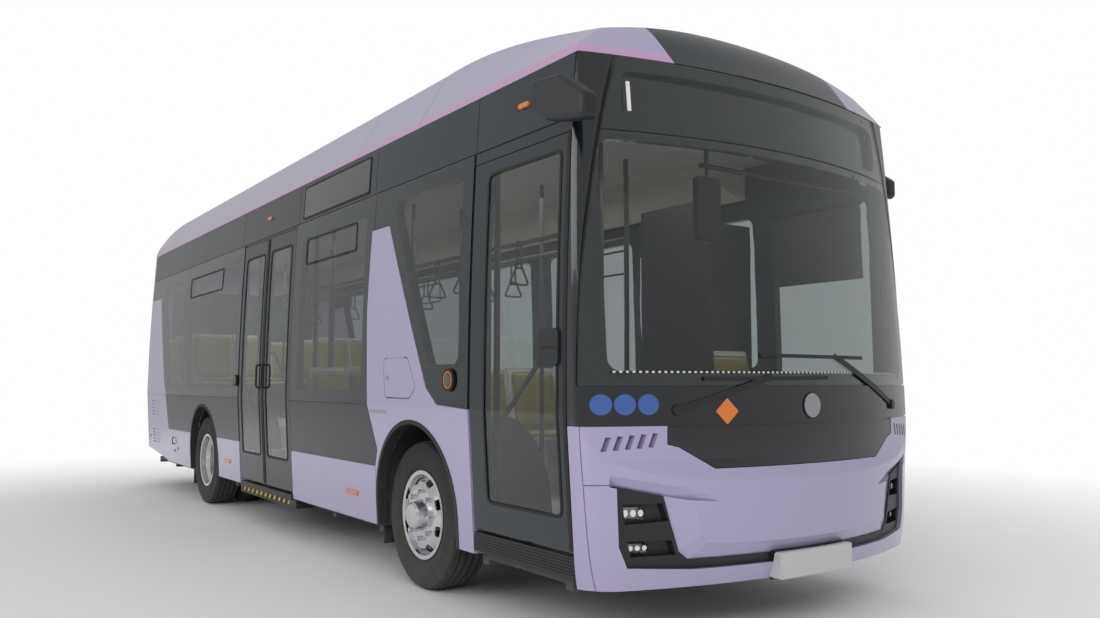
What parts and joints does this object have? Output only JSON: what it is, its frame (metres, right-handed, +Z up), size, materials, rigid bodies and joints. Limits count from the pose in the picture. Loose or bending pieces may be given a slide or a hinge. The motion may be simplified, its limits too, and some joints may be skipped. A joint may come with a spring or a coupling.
{
  "type": "city bus",
  "caption": "Low-entry single-deck city bus with inward-swinging doors, steered front wheels, twin rear wheels, roof fairings and a furnished saloon.",
  "frame": {"origin": "on the ground under the middle of the bus", "axes": "+X forward, +Y to the left, +Z up"},
  "size_m": [9.45, 2.704, 3.1696],
  "materials": {
    "black_rubber": "matt moulded rubber",
    "lilac_paint": "two-coat gloss paint",
    "slate_paint": "dark gloss paint",
    "cab_grey": "grained moulding",
    "black_plastic": "satin moulding",
    "floor_covering": "speckled floor covering",
    "chassis_black": "chassis coating",
    "black_gloss": "deep gloss",
    "rail_grey": "powder coat",
    "lamp_glass": "clear lens",
    "cast_steel": "as cast",
    "amber_lens": "moulded lens",
    "red_lens": "moulded lens",
    "plate_grey": "blank plate",
    "dark_glass": "privacy glass",
    "clear_glass": "toughened glass",
    "ceiling_cream": "painted panel",
    "housing_white": "powder-coated housings",
    "seat_shell": "moulded shell",
    "seat_fabric": "woven cover",
    "tyre": "black rubber",
    "polished_rim": "polished"
  },
  "bodies": {
    "body": {"arch_trims": "black_rubber", "bumper": "lilac_paint", "cab_fittings": "black_plastic", "cab_partition": "cab_grey", "camera_pods": "black_plastic", "charging_inlet": "black_plastic", "dark_wall_left": "slate_paint", "dark_wall_right": "slate_paint", "dashboard": "cab_grey", "dome_middle": "slate_paint", "door_sills": "black_plastic", "floor": "floor_covering", "front_axle": "chassis_black", "front_dome": "lilac_paint", "front_mask": "black_gloss", "handrails": "rail_grey", "headlamps": "lamp_glass", "lamp_bezels": "black_plastic", "lilac_panels_left": "lilac_paint", "lilac_panels_right": "lilac_paint", "marker_lamps": "amber_lens", "number_plates": "plate_grey", "rear_axle": "chassis_black", "rear_lamps": "red_lens", "rear_panel": "lilac_paint", "rear_window": "dark_glass", "roof": "ceiling_cream", "roof_equipment": "housing_white", "roof_fairings": "lilac_paint", "seat_frames": "seat_shell", "seat_pads": "seat_fabric", "side_glass": "clear_glass", "traction_pack": "chassis_black", "underframe": "chassis_black", "wheelhouses": "chassis_black", "windshield": "clear_glass", "wipers": "black_plastic"},
    "knuckle_left": {"knuckle_left": "cast_steel"},
    "knuckle_right": {"knuckle_right": "cast_steel"},
    "front_wheel_left": {"front_rim_left": "polished_rim", "front_tyre_left": "tyre"},
    "front_wheel_right": {"front_rim_right": "polished_rim", "front_tyre_right": "tyre"},
    "rear_wheels_left": {"rear_rim_left": "polished_rim", "rear_tyres_left": "tyre"},
    "rear_wheels_right": {"rear_rim_right": "polished_rim", "rear_tyres_right": "tyre"},
    "mid_rear_arm": {"mid_door_rear_arm": "cast_steel"},
    "mid_rear_leaf": {"mid_door_rear_leaf": "slate_paint", "mid_door_rear_glass": "clear_glass"},
    "mid_fore_arm": {"mid_door_fore_arm": "cast_steel"},
    "mid_fore_leaf": {"mid_door_fore_leaf": "slate_paint", "mid_door_fore_glass": "clear_glass"},
    "front_arm": {"front_door_arm": "cast_steel"},
    "front_leaf": {"front_door_leaf": "slate_paint", "front_door_glass": "clear_glass"},
    "charging_flap": {"charging_flap": "lilac_paint"},
    "rear_hatch": {"rear_hatch": "lilac_paint"}
  },
  "joints": [
    {"name": "steer_left", "type": "hinge", "parent": "body", "child": "knuckle_left", "pos_m": [2.72, 0.93, 0.43], "axis": [0, 0, 1], "range_deg": [-42, 42]},
    {"name": "steer_right", "type": "hinge", "parent": "body", "child": "knuckle_right", "pos_m": [2.72, -0.93, 0.43], "axis": [0, 0, 1], "range_deg": [-42, 42]},
    {"name": "front_spin_left", "type": "hinge", "parent": "knuckle_left", "child": "front_wheel_left", "pos_m": [2.72, 1.018, 0.4335], "axis": [0, 1, 0], "continuous": true},
    {"name": "front_spin_right", "type": "hinge", "parent": "knuckle_right", "child": "front_wheel_right", "pos_m": [2.72, -1.018, 0.4335], "axis": [0, 1, 0], "continuous": true},
    {"name": "rear_spin_left", "type": "hinge", "parent": "body", "child": "rear_wheels_left", "pos_m": [-2, 0.888, 0.4335], "axis": [0, 1, 0], "continuous": true},
    {"name": "rear_spin_right", "type": "hinge", "parent": "body", "child": "rear_wheels_right", "pos_m": [-2, -0.888, 0.4335], "axis": [0, 1, 0], "continuous": true},
    {"name": "mid_door_swing", "type": "hinge", "parent": "body", "child": "mid_rear_arm", "pos_m": [-0.78664, -1.021, 1.4], "axis": [0, 0, 1], "range_deg": [0, 84]},
    {"name": "mid_rear_leaf_turn", "type": "hinge", "parent": "mid_rear_arm", "child": "mid_rear_leaf", "pos_m": [-0.43332, -1.096, 1.4], "axis": [0, 0, -1], "range_deg": [0, 168]},
    {"name": "mid_fore_arm_swing", "type": "hinge", "parent": "body", "child": "mid_fore_arm", "pos_m": [0.63664, -1.021, 1.4], "axis": [0, 0, -1], "range_deg": [0, 84]},
    {"name": "mid_fore_leaf_turn", "type": "hinge", "parent": "mid_fore_arm", "child": "mid_fore_leaf", "pos_m": [0.28332, -1.096, 1.4], "axis": [0, 0, 1], "range_deg": [0, 168]},
    {"name": "front_door_swing", "type": "hinge", "parent": "body", "child": "front_arm", "pos_m": [3.39332, -1.021, 1.4], "axis": [0, 0, 1], "range_deg": [0, 84]},
    {"name": "front_leaf_turn", "type": "hinge", "parent": "front_arm", "child": "front_leaf", "pos_m": [3.85166, -1.096, 1.4], "axis": [0, 0, -1], "range_deg": [0, 168]},
    {"name": "charging_flap_lift", "type": "hinge", "parent": "body", "child": "charging_flap", "pos_m": [2.52, -1.21904, 1.371], "axis": [-1, 0, 0], "range_deg": [0, 100]},
    {"name": "rear_hatch_lift", "type": "hinge", "parent": "body", "child": "rear_hatch", "pos_m": [-4.7223, 0, 1.293], "axis": [0, 1, 0], "range_deg": [0, 95]}
  ],
  "couplings": [
    {"joint": "steer_right", "follows": "steer_left", "ratio": 1},
    {"joint": "mid_rear_leaf_turn", "follows": "mid_door_swing", "ratio": 2},
    {"joint": "mid_fore_arm_swing", "follows": "mid_door_swing", "ratio": 1},
    {"joint": "mid_fore_leaf_turn", "follows": "mid_door_swing", "ratio": 2},
    {"joint": "front_leaf_turn", "follows": "front_door_swing", "ratio": 2}
  ]
}
